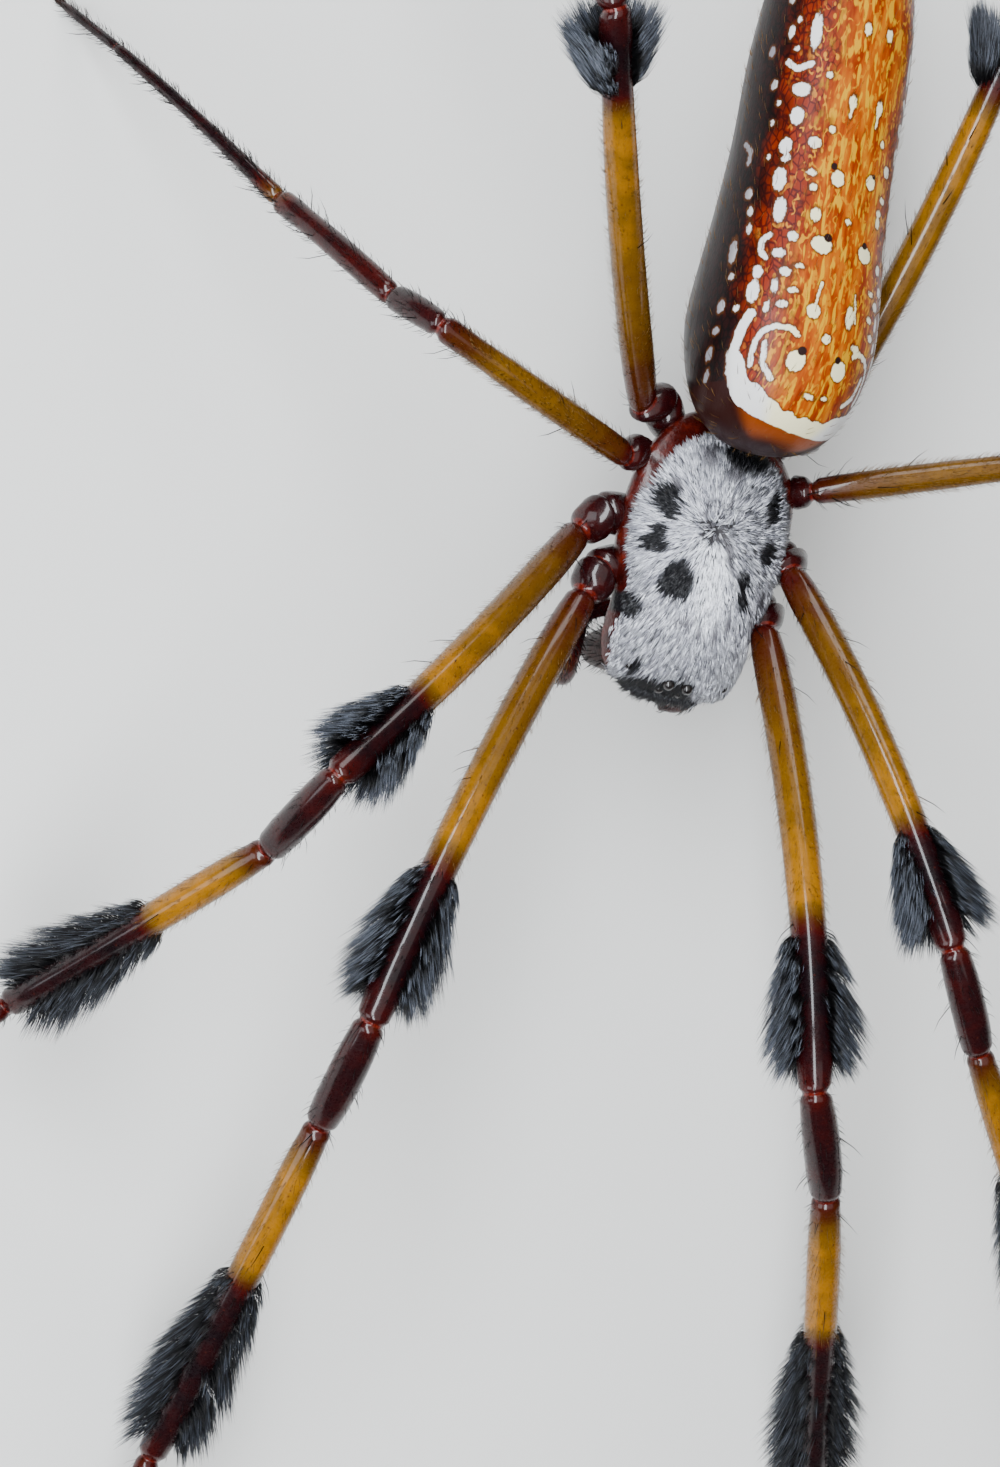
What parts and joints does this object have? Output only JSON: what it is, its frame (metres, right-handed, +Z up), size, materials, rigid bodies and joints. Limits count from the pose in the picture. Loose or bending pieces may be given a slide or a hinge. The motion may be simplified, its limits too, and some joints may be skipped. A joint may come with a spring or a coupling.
{
  "type": "orb weaver spider, still life-size model",
  "caption": "Large female orb-weaving spider, still and life-size, standing on splayed legs with tufts of long hair, a silver-haired carapace and a long spotted golden abdomen.",
  "frame": {"origin": "floor level under the middle of the whole span of the legs", "axes": "+Z up, head towards -Y, abdomen towards +Y, the animal's left side towards +X"},
  "size_m": [0.068, 0.1155, 0.0241],
  "materials": {
    "carapace_hair": "short silver-white hair lying flat over dark red cuticle, with paired black spots",
    "leg_cuticle": "glossy amber cuticle turning dark red at joints and leg ends, sparse fine hairs",
    "tuft_hair": "long black hair with blue-grey tips, in brushes round femur and tibia ends",
    "abdomen_skin": "glossy golden orange skin with red-brown network, cream spots and dark brown flanks",
    "jaw_cuticle": "glossy near-black cuticle",
    "eye": "polished black eye lens"
  },
  "bodies": {
    "root": {"cephalothorax": "carapace_hair", "eye_front_middle_left": "eye", "eye_front_middle_right": "eye", "eye_rear_middle_left": "eye", "eye_rear_middle_right": "eye", "eye_front_outer_left": "eye", "eye_front_outer_right": "eye", "eye_rear_outer_left": "eye", "eye_rear_outer_right": "eye", "chelicera_left": "jaw_cuticle", "fang_left": "jaw_cuticle", "palp_left": "leg_cuticle", "chelicera_right": "jaw_cuticle", "fang_right": "jaw_cuticle", "palp_right": "leg_cuticle", "leg_1_left_coxa": "leg_cuticle", "leg_1_left_femur": "leg_cuticle", "leg_1_left_patella": "leg_cuticle", "leg_1_left_tibia": "leg_cuticle", "leg_1_left_foot": "leg_cuticle", "leg_1_right_coxa": "leg_cuticle", "leg_1_right_femur": "leg_cuticle", "leg_1_right_patella": "leg_cuticle", "leg_1_right_tibia": "leg_cuticle", "leg_1_right_foot": "leg_cuticle", "leg_2_left_coxa": "leg_cuticle", "leg_2_left_femur": "leg_cuticle", "leg_2_left_patella": "leg_cuticle", "leg_2_left_tibia": "leg_cuticle", "leg_2_left_foot": "leg_cuticle", "leg_2_right_coxa": "leg_cuticle", "leg_2_right_femur": "leg_cuticle", "leg_2_right_patella": "leg_cuticle", "leg_2_right_tibia": "leg_cuticle", "leg_2_right_foot": "leg_cuticle", "leg_3_left_coxa": "leg_cuticle", "leg_3_left_femur": "leg_cuticle", "leg_3_left_patella": "leg_cuticle", "leg_3_left_tibia": "leg_cuticle", "leg_3_left_foot": "leg_cuticle", "leg_3_right_coxa": "leg_cuticle", "leg_3_right_femur": "leg_cuticle", "leg_3_right_patella": "leg_cuticle", "leg_3_right_tibia": "leg_cuticle", "leg_3_right_foot": "leg_cuticle", "leg_4_left_coxa": "leg_cuticle", "leg_4_left_femur": "leg_cuticle", "leg_4_left_patella": "leg_cuticle", "leg_4_left_tibia": "leg_cuticle", "leg_4_left_foot": "leg_cuticle", "leg_4_right_coxa": "leg_cuticle", "leg_4_right_femur": "leg_cuticle", "leg_4_right_patella": "leg_cuticle", "leg_4_right_tibia": "leg_cuticle", "leg_4_right_foot": "leg_cuticle", "pedicel": "leg_cuticle", "abdomen": "abdomen_skin", "spinnerets": "jaw_cuticle"}
  },
  "joints": []
}
